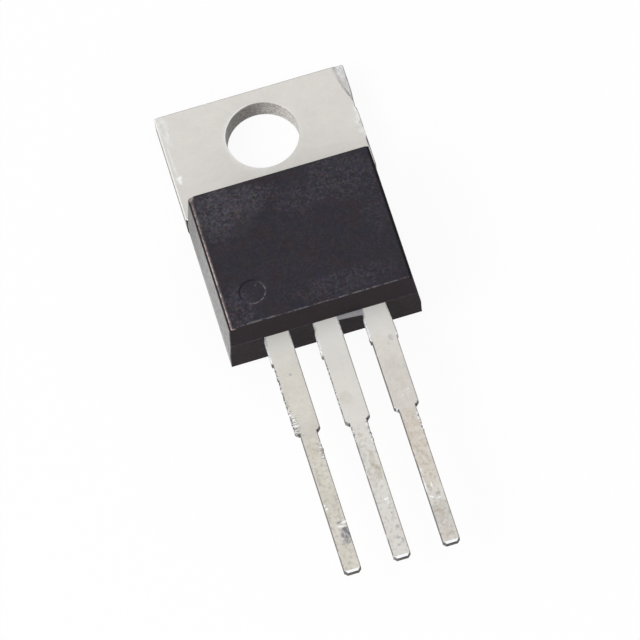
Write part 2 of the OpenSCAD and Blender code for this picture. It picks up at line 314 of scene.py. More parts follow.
slab = knocked(plate())
middle = lead(0, flank(5.93, 1.95), flank(5.9), inner=-2.75, left_torn=[(1.5, 2.0)],
              right_torn=[(6.0, 7.3)], seed=11, top=[(-2.14, tab_t), (-1.24, lead_front)],
              bottom=[(-1.96, tab_t - lead_t), (-1.06, lead_back)])
across, along, up = slab[..., 0], slab[..., 1], slab[..., 2]
beyond = past_crescent(slab)
pressed = smooth_step(beyond, 0.03, 0.1) * (0.3 + 0.35 * smooth_step(along, 1.7, 2.5))
near_front = 0.3 + 0.7 * smooth_step(up, 0.7, 1.2)
from_hole = np.hypot(across, along) - hole_r
left_of_hole = smooth_step(-across, -0.4, 0.8)
tab_scuffs_and_highlight = near_front * np.maximum(pressed, dabs(slab, [
    (-4.78, 2.1, 0.3, 0.6, 0, 0.38), (-4.75, 1.5, 0.16, 0.7, 4, 0.35),
    (-4.6, 1.4, 0.04, 0.7, 3, 0.6), (-4.83, -0.1, 0.05, 1.1, 2, 0.6),
    (-4.73, -1.08, 0.18, 0.12, 20, 1.2), (-4.74, -1.3, 0.11, 0.22, 10, 0.8),
    (5.0, -0.2, 0.14, 0.5, 0, 0.5), (4.93, -0.75, 0.24, 0.3, 0, 0.45),
    (4.9, -1.35, 0.2, 0.2, 0, 0.4), (5.05, -1.6, 0.05, 0.4, 0, 0.8),
    (4.78, 2.5, 0.06, 0.09, 20, 1.4), (4.9, 2.33, 0.05, 0.13, 15, 1.4),
    (4.99, 2.55, 0.04, 0.08, 0, 1.4), (4.78, 2.2, 0.035, 0.1, 0, 1.2),
    (4.97, 1.95, 0.035, 0.16, 0, 1.2), (4.86, 1.85, 0.03, 0.1, 0, 0.9)]))
# Painted highlight: a bright ring on the flat beside the hole's rim, on the left side of the hole,
# carried with the scuffs.
hole_rim_highlight = 0.35 * (from_hole < 0.07) * (up > 1.2) * left_of_hole
tab_scuffs_and_highlight = np.maximum(tab_scuffs_and_highlight, hole_rim_highlight)
# Painted shade: a dark line along the step of the pressed crescent, with darker marks inside it.
# The dabs are dark marks on the tab, one of them at the right edge beside the moulding.
pressed_step_shade = bell(beyond, 0.02, 0.045) * smooth_step(along, 0.4, 0.9)
pressed_shade_and_dirt = 0.45 * pressed_step_shade + 0.3 * smooth_step(beyond, 0.03, 0.1)
tab_dirt_and_shade = near_front * np.maximum(pressed_shade_and_dirt, dabs(slab, [
    (5.09, -2.1, 0.1, 0.42, 0, 1.3), (4.96, 0.85, 0.07, 0.25, 20, 0.6),
    (5.06, 0.0, 0.05, 0.16, 0, 0.7), (-4.82, 1.95, 0.13, 0.4, 4, 0.16),
    (4.98, -0.9, 0.05, 0.1, 0, 0.4), (4.8, -1.15, 0.06, 0.05, 0, 0.3),
    (5.06, 1.6, 0.04, 0.5, 0, 0.6)]))
# Edge values for the tab, painted light and shade: on the left wall, a dark line of painted shade
# low down and a painted highlight along its top edge; round the hole, a painted highlight on its
# left side; elsewhere a dark line of painted shade.
on_left_edge = 1.6 * smooth_step(up, 0.7, 1.2) - 1
tab_edges = np.where(from_hole < 0.2, 0.85 * left_of_hole,
                     np.where(across < -4.9, on_left_edge, -1))
# Scuffs on the middle lead, and bright lines along both flanks next to the moulding.
middle_scuffs = np.maximum(
    dabs(middle, [(0.14, -22.48, 0.13, 0.07, 10, 1.4), (0.16, -22.72, 0.05, 0.1, 0, 0.9)]),
    1.3 * torn(middle, 0, [(0, -0.15, 1.6, 0.08), (1, -0.15, 1.1, 0.08)]))
middle_dirt = dabs(middle, [
    (0.11, -23.0, 0.07, 0.05, 30, 0.45), (0.22, -23.42, 0.05, 0.09, 0, 0.4),
    (0.16, -23.3, 0.06, 0.05, 0, 0.4), (0.22, -24.1, 0.1, 0.14, 20, 0.4),
    (0.1, -24.7, 0.1, 0.08, 0, 0.4), (0.28, -24.9, 0.08, 0.16, 0, 0.35),
    (0.43, -21.32, 0.05, 0.2, 0, 0.8), (0.45, -18.3, 0.06, 0.14, 0, 1.2),
    (0.43, -18.75, 0.05, 0.1, 0, 1), (-0.2, -24.3, 0.06, 0.05, 0, 0.25),
    (0.05, -25.1, 0.12, 0.06, 0, 0.3)])
middle_stains = dabs(middle, [
    (0.06, -20.2, 0.16, 0.55, -6, 0.9), (0.2, -20.9, 0.14, 0.45, 8, 0.9),
    (-0.05, -21.2, 0.3, 0.3, 0, 0.35), (-0.22, -16.5, 0.35, 0.4, 0, 0.3)])
middle_torn = torn(middle, 0, [(1, 6.0, 7.4, 0.15), (0, 6.1, 7.2, 0.12), (0, 2.4, 5.7, 0.05)])
middle_edges = rolled(middle, 0, -13.9, -13.1)
tab = piece("tab_and_middle_lead", [(slab, True), (middle, False)], {
    "scuff_and_highlight": [tab_scuffs_and_highlight, middle_scuffs], "dirt_and_shade": [tab_dirt_and_shade, middle_dirt],
    "stain": [0 * tab_dirt_and_shade, middle_stains], "torn": [0 * tab_dirt_and_shade, middle_torn],
    "edge": [tab_edges, middle_edges]})

# Where along the part the finish changes, and the colours of its marks
past_moulding, past_stubs = (-11.7, -12.0), (-14.1, -14.4)
painted_light_span, aged_tin = (-15.0, -12.2), (-17.8, -18.8)
painted_light_white, rubbed_and_highlight_white = (0.84, 0.83, 0.80, 1), (0.875, 0.888, 0.895, 1)
aged_grey, edge_shade_grey = (0.36, 0.34, 0.30, 1), (0.17, 0.16, 0.155, 1)
cut_brown, grime_and_shade_grey = (0.016, 0.012, 0.011, 1), (0.12, 0.12, 0.155, 1)


def add(tree, kind, inputs={}, **options):
    """A node of a finish: options are the node's own settings, and inputs values or other nodes'
    sockets."""
    made = tree.nodes.new("ShaderNode" + kind)
    for key, value in options.items():
        setattr(made, key, value)
    for key, value in inputs.items():
        if isinstance(value, bpy.types.NodeSocket):
            tree.links.new(value, made.inputs[key])
        else:
            made.inputs[key].default_value = value
    return made


def finish(name, **sockets):
    """A material with its own shader, whose constant sockets are set here, and its places in
    millimetres."""
    material = bpy.data.materials.new(name)
    material.use_nodes = True
    tree = material.node_tree
    shader = tree.nodes["Principled BSDF"]
    for key, value in sockets.items():
        shader.inputs[key.replace("_", " ")].default_value = value
    place = add(tree, "TexCoord").outputs["Object"]
    place = add(tree, "VectorMath", {0: place, "Scale": 1 / mm}, operation="SCALE").outputs[0]
    return material, tree, shader, place


def grain(tree, place, scale, detail=3.0, rough=0.6):
    """Even noise at so many cells a millimetre."""
    inputs = {"Vector": place, "Scale": scale, "Detail": detail, "Roughness": rough}
    return add(tree, "TexNoise", inputs).outputs["Fac"]


def band(tree, value, low, high, to_low=0.0, to_high=1.0):
    """A soft step of a value, from to_low at low to to_high at high."""
    ends = {"Value": value, "From Min": low, "From Max": high, "To Min": to_low, "To Max": to_high}
    return add(tree, "MapRange", ends, interpolation_type="SMOOTHSTEP").outputs["Result"]


def calc(tree, operation, a, b=0.0):
    """One sum of two numbers or sockets."""
    return add(tree, "Math", {0: a, 1: b}, operation=operation).outputs[0]


def times(tree, *factors):
    """The product of several numbers or sockets."""
    product = factors[0]
    for factor in factors[1:]:
        product = calc(tree, "MULTIPLY", product, factor)
    return product


def most(tree, *values):
    """The greatest of several sockets."""
    greatest = values[0]
    for value in values[1:]:
        greatest = calc(tree, "MAXIMUM", greatest, value)
    return greatest


def blend(tree, share, a, b):
    """Two colours mixed by a share from 0 to 1."""
    return add(tree, "Mix", {0: share, 6: a, 7: b}, data_type="RGBA").outputs[2]


def read_marks(tree, *keys):
    """The numbers that a piece's points carry, by name."""
    return [add(tree, "Attribute", attribute_name=key).outputs["Fac"] for key in keys]


def relief(tree, shader, height, distance):
    """Fine relief on a shader: a height times a distance in millimetres."""
    bump = add(tree, "Bump", {"Height": height, "Distance": distance * mm})
    tree.links.new(bump.outputs[0], shader.inputs["Normal"])


def tin(name, light, shade, stain, unevenness, wall_left, wall_right):
    """Matte tin on copper: a light grey that turns to a darker tone in patches, painted light near
    the moulding that cancels the shade of the body there, aged past the shoulders, brown stains,
    sheared walls painted light where they face left and dark where they face right as painted light
    and shade, dark cut ends, scuffs rubbed bright, bevels at the tips painted bright as a
    highlight, rounded edges painted bright as a highlight that is partly burnish in some places and
    dark as a line of painted shade in others, hatched dirt with some painted shade among it, and
    torn places where bright and dark flecks lie across the flank. The marks come from the piece's
    own values for scuffs and highlights, dirt and shade, stains, torn places and edges."""
    material, tree, shader, place = finish(name)
    scuff_and_highlight, dirt_and_shade, stained, torn_share, edge = read_marks(tree, "scuff_and_highlight", "dirt_and_shade", "stain", "torn",
                                                        "edge")
    at = add(tree, "SeparateXYZ", {0: place}).outputs["Y"]
    facing = add(tree, "SeparateXYZ", {0: add(tree, "NewGeometry").outputs["Normal"]})
    up, sideways = (calc(tree, "ABSOLUTE", facing.outputs[axis]) for axis in "ZX")
    outwards = facing.outputs["Y"]

    # The plated face: patches, painted light near the moulding that cancels the shade of the body,
    # aged tin, stains
    broad = band(tree, grain(tree, place, 0.8, 5, 0.65), 0.35, 0.65)
    fine = band(tree, grain(tree, place, 3.4, 5, 0.7), 0.35, 0.65)
    mottle = band(tree, grain(tree, place, 7.0, 4, 0.7), 0.38, 0.62)
    small = calc(tree, "ADD", times(tree, fine, 0.3), times(tree, mottle, 0.25))
    patches = calc(tree, "ADD", times(tree, broad, 0.45), small)
    colour = blend(tree, times(tree, patches, unevenness), light, shade)
    on_lead = band(tree, at, *past_moulding)
    # Painted light: the tin next to the moulding is lightened towards white, which cancels the
    # shade and dark reflection of the body there.
    painted_light_near_body = times(tree, on_lead, band(tree, at, *painted_light_span), 0.62)
    colour = blend(tree, painted_light_near_body, colour, painted_light_white)
    spots = band(tree, grain(tree, place, 5.0, 6, 0.75), 0.48, 0.64)
    aged = times(tree, band(tree, at, *aged_tin), spots, unevenness, 0.7)
    colour = blend(tree, aged, colour, aged_grey)
    stained = times(tree, stained, band(tree, fine, 0.0, 1.0, 0.35, 0.9))
    colour = blend(tree, stained, colour, stain)

    # The sheared walls, painted lighter where they face left and darker where they face right as
    # painted light and shade, paler at the stubs' ends, and the dark cut ends
    wall = most(tree, band(tree, up, 0.35, 0.1), band(tree, sideways, 0.55, 0.85))
    stub_end = times(tree, on_lead, band(tree, at, *past_stubs[::-1]),
                     band(tree, outwards, -0.3, -0.6))
    wall = times(tree, wall, band(tree, stub_end, 0.0, 1.0, 1.0, 0.4))
    speckle = band(tree, grain(tree, place, 8.0, 4, 0.75), 0.38, 0.62, 0.68, 1.35)
    # Painted light and shade: a wall that faces left takes the first colour, one that faces right
    # the second.
    sheared = blend(tree, band(tree, facing.outputs["X"], -1.0, 0.25), wall_left, wall_right)
    sheared = add(tree, "VectorMath", {0: sheared, "Scale": speckle}, operation="SCALE").outputs[0]
    colour = blend(tree, wall, colour, sheared)
    cut_end = times(tree, band(tree, at, *past_stubs), band(tree, outwards, -0.6, -0.85),
                    band(tree, up, 0.5, 0.3))
    colour = blend(tree, cut_end, colour, cut_brown)

    # The rounded edges, painted bright as a highlight (partly burnish) or dark as a line of painted
    # shade by their edge value, the bevels at the tips painted bright as a highlight, scuffs and
    # torn places
    roll = times(tree, band(tree, up, 0.999, 0.985), band(tree, up, 0.55, 0.75))
    # Painted shade: a dark line on the rounded edges and walls where the edge value is below
    # nought, broken up by noise.
    edge_shade_breaks = band(tree, grain(tree, place, 2.0, 4), 0.32, 0.47)
    edge_shade = times(tree, band(tree, up, 0.995, 0.93), band(tree, edge, 0.0, -1.0), edge_shade_breaks, 0.85)
    colour = blend(tree, edge_shade, colour, edge_shade_grey)
    # Painted highlight: the bevels at the lead tips, which face the lead end, are painted bright.
    bevel_highlight = times(tree, on_lead, band(tree, outwards, -0.5, -0.65), band(tree, up, 0.5, 0.65))
    flecks = band(tree, grain(tree, place, 4.5, 5, 0.75), 0.42, 0.58)
    rubbed_and_highlight = times(tree, scuff_and_highlight, band(tree, flecks, 0.0, 1.0, 0.4, 1.0))
    rubbed_and_highlight = calc(tree, "MINIMUM", rubbed_and_highlight, 1.0)
    burnished_edge_highlight = times(tree, roll, band(tree, edge, 0.0, 1.0))
    comb = add(tree, "Mapping", {"Vector": place, "Scale": (4.5, 14.0, 4.5)}).outputs[0]
    tooth = grain(tree, comb, 1.0, 3, 0.6)
    torn_bright = times(tree, torn_share, band(tree, tooth, 0.54, 0.58))
    # Wear and painted highlights together: the scuffs and torn flecks are wear, the burnished edges
    # partly and the bevels wholly painted highlights.
    bright_wear_and_highlight = most(tree, burnished_edge_highlight, bevel_highlight, rubbed_and_highlight, torn_bright)
    colour = blend(tree, bright_wear_and_highlight, colour, rubbed_and_highlight_white)

    # The dirt and the painted shade that shares its marks, whose hatching leans across the part
    leaning = {"Vector": place, "Rotation": (0.0, 0.0, 0.5), "Scale": (9.0, 3.0, 3.0)}
    hatch = grain(tree, add(tree, "Mapping", leaning).outputs[0], 1.0, 3, 0.65)
    hatched = times(tree, dirt_and_shade, band(tree, hatch, 0.36, 0.56, 0.35, 0.95))
    torn_dark = times(tree, torn_share, band(tree, tooth, 0.47, 0.42), 0.75)
    colour = blend(tree, most(tree, hatched, torn_dark), colour, grime_and_shade_grey)

    tree.links.new(colour, shader.inputs["Base Color"])
    tree.links.new(band(tree, bright_wear_and_highlight, 0.0, 1.0, 0.2, 0.85), shader.inputs["Metallic"])
    dull = calc(tree, "ADD", times(tree, patches, 0.1), 0.5)
    dull = calc(tree, "ADD", dull, times(tree, most(tree, edge_shade, cut_end), 0.4))
    dull = calc(tree, "SUBTRACT", dull, times(tree, bright_wear_and_highlight, 0.15))
    tree.links.new(dull, shader.inputs["Roughness"])
    waves = calc(tree, "ADD", grain(tree, place, 6.0, 4), times(tree, speckle, wall, 1.5))
    teeth = times(tree, calc(tree, "ADD", torn_share, scuff_and_highlight), grain(tree, comb, 1.0, 3), 4.0)
    relief(tree, shader, calc(tree, "ADD", waves, teeth), 0.004)
    return material


# The tab's sheared walls are painted light where they face left and dark where they face right, as
# painted light and shade.
tab.data.materials.append(tin(
    "tin_on_tab", light=(0.695, 0.672, 0.634, 1), shade=(0.615, 0.593, 0.56, 1),
    stain=(0.40, 0.37, 0.28, 1), unevenness=0.7,
    wall_left=(0.60, 0.57, 0.54, 1), wall_right=(0.23, 0.213, 0.203, 1)))
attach(tab, "root")
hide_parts("heat_tab")


# Input lead
# A flat strip from the thin part of the same copper strip, tin-plated, with a wide post inside the
# moulding for the bond wire. The bar that joined the leads while the part was moulded is cut away
# and left its stub on the flank. Both flanks are torn, and a solder smudge is near the tip.
lead_x, post_end = -2.54, -2.45
post = [(post_end, 1.1), (-1.15, 1.1)]
dark_wall = (0.13, 0.12, 0.11, 1)
shape = lead(lead_x, post + flank(5.74, 1.6), post + flank(5.74), inner=post_end,
             left_torn=[(2.0, 5.9)], right_torn=[(6.4, 7.5)], seed=21)
dirt_and_shade = dabs(shape, [
    (-2.5, -14.42, 0.08, 0.08, 0, 0.5), (-2.46, -23.0, 0.14, 0.06, 25, 0.9),
    (-2.2, -23.45, 0.3, 0.16, 0, 1.0), (-2.25, -23.75, 0.34, 0.26, -10, 1.0),
    (-2.33, -24.08, 0.26, 0.18, -10, 0.62), (-2.6, -24.2, 0.1, 0.08, 0, 0.35),
    (-2.54, -17.65, 0.7, 0.5, 0, 0.1), (-2.2, -20.6, 0.05, 0.05, 0, 0.3),
    (-2.8, -20.2, 0.04, 0.5, 0, 0.3)])
scuffs = dabs(shape, [
    (-2.88, -21.9, 0.06, 0.05, 0, 1.4), (-2.84, -22.12, 0.07, 0.06, 0, 1.4),
    (-2.23, -23.05, 0.15, 0.07, 15, 1.5), (-2.38, -23.24, 0.28, 0.04, -12, 1.5),
    (-2.5, -23.9, 0.04, 0.2, 0, 0.6)])
# Bright lines along both flanks next to the moulding.
root_bright_lines = 1.3 * torn(shape, lead_x, [(0, -0.15, 1.5, 0.08), (1, -0.15, 1.1, 0.08)])
stains = dabs(shape, [(-2.66, -18.95, 0.25, 0.5, 0, 0.35), (-2.6, -21.5, 0.4, 1.8, 0, 0.2),
                      (-2.6, -25.0, 0.5, 0.8, 0, 0.2)])
tears = torn(shape, lead_x, [(0, 1.7, 4.0, 0.07), (0, 3.6, 5.2, 0.18), (0, 4.6, 5.95, 0.46),
                             (1, 6.4, 7.5, 0.25)])
edges = rolled(shape, lead_x, -13.6, -13.1)
input_strip = piece("input_lead_strip", [(shape, False)], {
    "scuff_and_highlight": [np.maximum(scuffs, root_bright_lines)], "dirt_and_shade": [dirt_and_shade], "stain": [stains],
    "torn": [tears], "edge": [edges]})
input_strip.data.materials.append(tin(
    "tin_on_input_lead", light=(0.675, 0.648, 0.59, 1), shade=(0.57, 0.545, 0.485, 1),
    stain=(0.56, 0.48, 0.35, 1), unevenness=1.0, wall_left=dark_wall, wall_right=dark_wall))
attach(input_strip, "root")
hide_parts("input_lead")


# Output lead
# The same strip on the other side, with stubs on both flanks. Soldering heat turned its tail brown,
# and the tail is scratched and scuffed.
lead_x = 2.54
shape = lead(lead_x, post + flank(5.95, 1.95), post + flank(5.9, 1.95, stub_l=0.4, ease=1.4),
             inner=post_end, left_torn=[(1.6, 2.0)], right_torn=[(6.2, 7.5)], seed=31)
dirt_and_shade = dabs(shape, [
    (2.98, -21.24, 0.05, 0.12, 0, 1), (2.68, -22.97, 0.13, 0.1, 20, 0.45),
    (2.69, -20.87, 0.08, 0.1, 0, 0.3), (2.86, -14.0, 0.14, 0.2, 20, 0.3),
    (2.67, -14.3, 0.07, 0.12, 0, 0.25), (3.05, -15.72, 0.06, 0.09, 0, 0.4),
    (2.5, -25.3, 0.14, 0.08, 20, 0.35), (2.75, -24.9, 0.1, 0.12, 0, 0.3),
    (2.6, -21.9, 0.1, 0.14, 0, 0.25), (2.6, -16.9, 1.1, 2.0, 0, 0.1),
    (2.55, -24.05, 0.6, 0.75, 0, 0.17), (2.5, -24.9, 0.6, 0.6, 0, 0.08)])
scuffs = dabs(shape, [
    (2.47, -22.45, 0.035, 0.22, 0, 1.4), (2.32, -23.09, 0.16, 0.035, -30, 1.4),
    (2.6, -23.22, 0.18, 0.035, 5, 1.4), (2.16, -22.37, 0.04, 0.6, 0, 0.9),
    (2.9, -17.02, 0.08, 0.06, 0, 1.4), (2.56, -17.27, 0.04, 0.1, -20, 1.2),
    (3.19, -13.87, 0.06, 0.12, 0, 1), (2.2, -21.47, 0.04, 0.4, 0, 0.8),
    (2.9, -18.72, 0.05, 0.14, 0, 0.7), (1.98, -17.95, 0.12, 0.06, 0, 1.3)])
# A bright line along the left flank next to the moulding.
root_bright_lines = 1.3 * torn(shape, lead_x, [(0, -0.15, 1.7, 0.08)])
stains = dabs(shape, [
    (2.5, -19.5, 0.6, 1.7, 0, 0.5), (2.5, -21.6, 0.6, 1.2, 0, 0.45),
    (2.46, -24.1, 0.25, 0.4, 0, 0.45), (2.5, -25.3, 0.5, 0.5, 0, 0.3),
    (2.45, -17.1, 0.9, 1.1, 0, 0.22)])
tears = torn(shape, lead_x, [(1, 6.15, 7.5, 0.16)])
edges = rolled(shape, lead_x, -13.9, -13.1)
output_strip = piece("output_lead_strip", [(shape, False)], {
    "scuff_and_highlight": [np.maximum(scuffs, root_bright_lines)], "dirt_and_shade": [dirt_and_shade], "stain": [stains],
    "torn": [tears], "edge": [edges]})
output_strip.data.materials.append(tin(
    "tin_on_output_lead", light=(0.705, 0.68, 0.635, 1), shade=(0.60, 0.572, 0.525, 1),
    stain=(0.55, 0.45, 0.35, 1), unevenness=1.0,
    wall_left=(0.10, 0.08, 0.065, 1), wall_right=dark_wall))
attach(output_strip, "root")
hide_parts("output_lead")


# Die and its solder
# The silicon chip is soldered to the pad with a thin layer of lead-tin solder, which shows as a
# fillet round it. Both are sealed inside the moulding.
solder, tree, shader, place = finish("soft_solder", Metallic=1.0)
cloud = band(tree, grain(tree, place, 5.0, 3), 0.3, 0.7)
solder_colour = blend(tree, cloud, (0.38, 0.38, 0.40, 1), (0.52, 0.52, 0.54, 1))
tree.links.new(solder_colour, shader.inputs["Base Color"])
tree.links.new(band(tree, cloud, 0, 1, 0.3, 0.5), shader.inputs["Roughness"])
silicon, tree, shader, place = finish("silicon", Metallic=0.6)
cells = add(tree, "TexBrick", {"Vector": place, "Scale": 3.0, "Color1": (0.10, 0.12, 0.17, 1),
                               "Color2": (0.17, 0.15, 0.20, 1), "Mortar": (0.42, 0.42, 0.44, 1)})
tree.links.new(cells.outputs["Color"], shader.inputs["Base Color"])
tree.links.new(band(tree, grain(tree, place, 4.0), 0, 1, 0.15, 0.3), shader.inputs["Roughness"])


def dress(name, material):
    """A node of the CAD model keeps its shape and gets this material."""
    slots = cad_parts[name].data.materials
    slots.clear()
    slots.append(material)


dress("die_solder", solder)
dress("regulator_die", silicon)


# Bond wires
# Thick aluminium wire, pressed flat by the bonding tool at both feet, from the die to the two posts
# and to the pad. They are sealed inside the moulding too.
aluminium, tree, shader, place = finish("bond_aluminium", Metallic=1.0)
drawn = band(tree, grain(tree, place, 8.0, 3), 0.3, 0.7)
wire_colour = blend(tree, drawn, (0.80, 0.80, 0.82, 1), (0.70, 0.70, 0.73, 1))
tree.links.new(wire_colour, shader.inputs["Base Color"])
tree.links.new(band(tree, drawn, 0, 1, 0.25, 0.4), shader.inputs["Roughness"])
for name in ("input_wire", "common_wire", "output_wire"):
    dress(name, aluminium)


# Moulded body
# Black filled epoxy, transfer moulded in one shot round everything above. The two mould halves part
# at the leads' front surface, where a hair of flash is left. The faces lean for release, a ledge
# and a bevel run along both sides of the front face, and an ejector pin left its round mark.
body_t, rim_z = 4.53, 4.40
half_body, half_rim, half_ledge, half_front = 5.035, 4.785, 4.69, 4.614
low_offset, rim_offset, front_offset = -0.015, -0.06, -0.024
end_draft, front_draft, foot_draft = 0.33, 0.1, 0.42
left_corner, right_corner, end_corner = 0.2, 0.04, 0.07
top_round, bottom_round, edge_reach, side_reach = 0.04, 0.05, 0.02, 0.012
half_pocket, pocket_end, seam_reach = 4.15, -9.41, 0.012
mark_x, mark_y, mark_r = -3.15, -10.2, 0.65
web_start, web_end, web_reach, web_depth = 0.6, 1.94, (0.22, 0.33), 0.1


def rounding(gap, radius):
    """How far a rounded edge draws a wall in, at a given gap from the face that it runs into: the
    radius less the height of its circle."""
    return radius - np.sqrt(radius ** 2 - np.clip(radius - gap, 0, radius) ** 2)


def block():
    """The moulding's skin in rows, from the middle of its back to the middle of the ejector mark:
    the pocket over the pad, the back, the walls and the front face. A wall row is a rectangle with
    rounded corners, whose width, lead end and foot at that height come from the outlines seen from
    the end and the side. The mould didn't sit quite over the copper, so the rows lie a little to
    the left. The rows of the front face close in on the ejector mark, a shallow round recess."""
    side = softened([(0, half_body), (tab_t, half_body), (rim_z, half_rim),
                     (rim_z + 0.01, half_ledge), (body_t, half_front)], side_reach)
    lead_end = softened([(0, body_end + end_draft), (lead_front, body_end),
                         (body_t, body_end + front_draft)], edge_reach)
    foot = softened([(0, foot_y), (tab_t, foot_y), (body_t, foot_y - foot_draft)], edge_reach)
    turning = np.sin(np.linspace(0, np.pi / 2, 7))
    z = np.unique(np.round(np.concatenate([
        bottom_round * (1 - turning), np.linspace(0.1, 1.28, 6), [1.29, 1.3, 1.31, 1.32],
        np.linspace(1.5, 2.8, 6), lead_front + np.linspace(-0.04, 0.04, 9),
        np.linspace(3, 4.34, 6), rim_z + np.linspace(-0.03, 0.03, 19),
        np.linspace(rim_z + 0.03, body_t - top_round, 5), body_t - top_round * (1 - turning)]), 4))
    drawn_in = rounding(z, bottom_round) + rounding(body_t - z, top_round)
    seam = seam_reach * bell(z, lead_front, 0.012)
    moved = np.interp(z, [tab_t, rim_z, body_t], [low_offset, rim_offset, front_offset])
    pad_middle = (foot_y + pad_end) / 2
    # The first three rows are the pocket's: its middle, its rim, and that rim at the back's level
    half = np.concatenate([[0.1, half_pocket, half_pocket + hair],
                           np.interp(z, *side.T) - drawn_in])[:, None]
    end = np.concatenate([[pad_middle, pocket_end, pocket_end - hair],
                          np.interp(z, *lead_end.T) + drawn_in - seam])[:, None]
    top = np.concatenate([[pad_middle + 0.3, foot_y, foot_y],
                          np.interp(z, *foot.T) - drawn_in])[:, None]
    height = np.concatenate([[key_h, key_h, 0], z])[:, None]
    offset = np.concatenate([[0, 0, 0], moved])[:, None]
    sharp = np.where(height > key_h, 1, 0.1)
    # The straight runs and corners of a row, as shares of the way across and along and as an angle
    up, over = np.linspace(0, 1, 92), np.linspace(1, -1, 112)
    bend, one = np.linspace(0, np.pi / 2, 7)[1:-1], np.ones(5)
    across = np.concatenate([1 + 0 * up, one, over, -one, -1 + 0 * up, -one, -over, one])
    along = np.concatenate([up, one, 1 + 0 * over, one, up[::-1], 0 * one, 0 * over, 0 * one])
    angle = np.concatenate([0 * up, bend, np.pi / 2 + 0 * over, np.pi / 2 + bend, np.pi + 0 * up,
                            np.pi + bend, 1.5 * np.pi + 0 * over, 1.5 * np.pi + bend])
    foot_corner = np.where(across > 0, right_corner, left_corner)
    on_wall = np.isin(angle, (0, np.pi))
    corner = np.where(along > 0.5, foot_corner, end_corner) * np.where(on_wall, 0, 1) * sharp
    x = across * (half - corner) + corner * np.cos(angle) + offset
    run_start, run_end = end + end_corner * sharp, top - foot_corner * sharp
    y = run_start + along * (run_end - run_start) + corner * np.sin(angle)
    walls = np.stack([x, y, height + 0 * x], -1)
    # Where the copper passes the foot, the low rows keep above the key, clear of the copper's back
    at_foot = (along == 1) & (angle == np.pi / 2)
    walls[:3, at_foot, 2] = key_h + np.array([0, 0.001, 0.003])[:, None]
    over_pad = at_foot & (np.abs(walls[3, :, 0]) < half_pocket)
    low = walls[3:, over_pad, 2]
    walls[3:, over_pad, 2] = np.maximum(low, key_h + 0.005 + 0.1 * low)
    # The front face, from the last wall row to the mark, as shares of the way, and the mark
    rim, centre = walls[-1, :, :2], np.array([mark_x, mark_y])
    direction = (rim - centre) / np.linalg.norm(rim - centre, axis=1, keepdims=True)
    reach = mark_r + np.array([0.07, 0.045, 0.02, 0, -0.03, -0.05, -0.08, -0.3])
    sunk = np.array([0, -0.006, -0.006, -0.012, -0.044, -0.05, -0.048, -0.042])[:, None, None]
    share = np.array([0.012, 0.03, 0.08, 0.16, 0.26, 0.38, 0.5, 0.62, 0.74, 0.85, 0.93, 0.98])
    share = share[:, None, None]
    marked = centre + reach[:, None, None] * direction
    face = rim * (1 - share) + marked[0] * share
    return np.concatenate([walls, np.dstack([face, body_t + 0 * face[:, :, :1]]),
                           np.dstack([marked, body_t + sunk + 0 * marked[:, :, :1]])])


def web():
    """The web of flash between the middle and the output lead: a closed profile of a thin slab,
    from inside the moulding out to a ragged edge that reaches further at the output lead, carried
    across from flank to flank."""
    x = np.linspace(web_start, web_end, 60)
    reach = np.interp(x, [web_start, web_end], web_reach)
    reach += np.random.default_rng(5).normal(0, 0.008, len(x))
    share = np.array([-1, 0, 0.5, 0.9, 1, 1, 0.9, 0.5, 0, -1])
    level = lead_front - np.array([0, 0, 0.002, 0.004, 0.015, 0.04, 0.05, 0.05, 0.05, 0.05])
    y = body_end - np.where(share > 0, share * reach[:, None], web_depth * share)
    return np.stack([x[:, None] + 0 * y, y, level + 0 * y], -1)


def plug():
    """An upright prism in the cut corner of the tab on the left, made near black through its sunk
    value: painted shade that stands in for the dark notch.
    """
    outline = np.array([
        (-half_tab + 0.02, foot_y - 0.03), (-half_tab + 0.3, foot_y - 0.03),
        (-half_tab + relief_cut, foot_y), (-half_tab, foot_y + relief_cut),
        (-half_tab, foot_y + 0.08)])
    z = np.array([0.05, 0.3, 0.6, 0.9, 1.2, tab_t - 0.01])[:, None, None]
    return np.dstack([outline[None] + 0 * z, z + 0 * outline[None, :, :1]])


body = block()
flash = web()
notch_shade_prism = plug()
x, y, z = body[..., 0], body[..., 1], body[..., 2]
# Painted highlight: the left bevel beside the front face is painted a light pinkish brown, more on
# its lower part and towards the lead end, with a beige patch at its corner by the tab.
on_bevel = smooth_step(z, rim_z + 0.012, rim_z + 0.02) * (x < -4.5)
on_bevel *= 1 - smooth_step(z, body_t - 0.03, body_t)
lower_part = 1 - smooth_step(z, rim_z + 0.06, rim_z + 0.08)
rim_highlight = on_bevel * (0.22 + (0.35 + 0.5 * smooth_step(-y, 5.5, 9)) * lower_part)
on_corner = dabs(body, [(-4.71, -4.09, 0.2, 0.22, 0, 0.5)]) * smooth_step(z, 4.2, 4.5)
rub_and_highlight = np.maximum(rim_highlight, on_corner)
out_from_mark = np.hypot(x - mark_x, y - mark_y) - mark_r
side_of_mark = (0.64 * (x - mark_x) - 0.77 * (y - mark_y)) / mark_r
ring = bell(out_from_mark, 0.01, 0.035) * (z > body_t - 0.1)
front_edge = smooth_step(z, body_t - 0.03, body_t - 0.01) * (y < body_end + 0.17)
